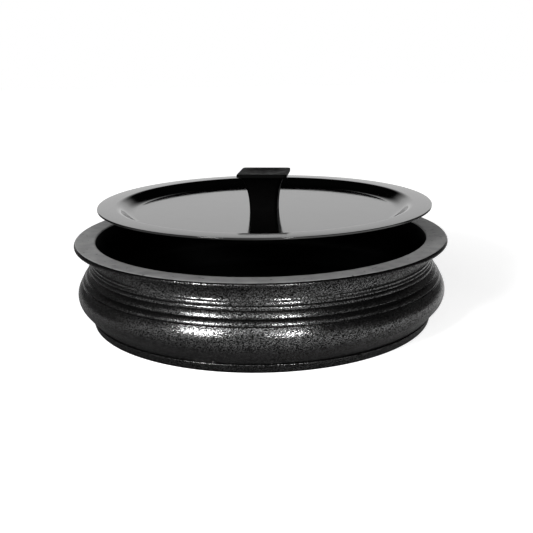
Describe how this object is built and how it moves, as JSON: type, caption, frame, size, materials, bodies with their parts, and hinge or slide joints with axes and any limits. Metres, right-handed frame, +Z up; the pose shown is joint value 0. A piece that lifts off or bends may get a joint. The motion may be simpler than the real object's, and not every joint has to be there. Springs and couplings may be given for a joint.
{
  "type": "uruli pot",
  "caption": "Wide shallow round cooking pot with a flat rim, waisted neck, turned lines, round belly and a lift-off lid with a square flared knob.",
  "frame": {"origin": "centre of the pot's underside, on the surface that it stands on", "axes": "+Z up along the pot's axis, -Y towards the front, +X to the right seen from the front"},
  "size_m": [0.2926, 0.2973, 0.1113],
  "materials": {
    "pot_coat": "black hammered cookware coat, glossy",
    "lid_coat": "black coat, glossy",
    "knob_plastic": "black moulded plastic, polished",
    "insert_brass": "machined",
    "screw_steel": "zinc plated"
  },
  "bodies": {
    "pot": {"pot_body": "pot_coat"},
    "lid": {"lid_disc": "lid_coat", "lid_knob": "knob_plastic", "knob_insert": "insert_brass", "knob_screw": "screw_steel", "lock_washer": "screw_steel", "flat_washer": "screw_steel"}
  },
  "joints": [
    {"name": "lid_lift", "type": "slide", "parent": "pot", "child": "lid", "axis": [0.1271, 0.6394, 0.7583], "range_m": [-0.0267, 0.12]}
  ]
}
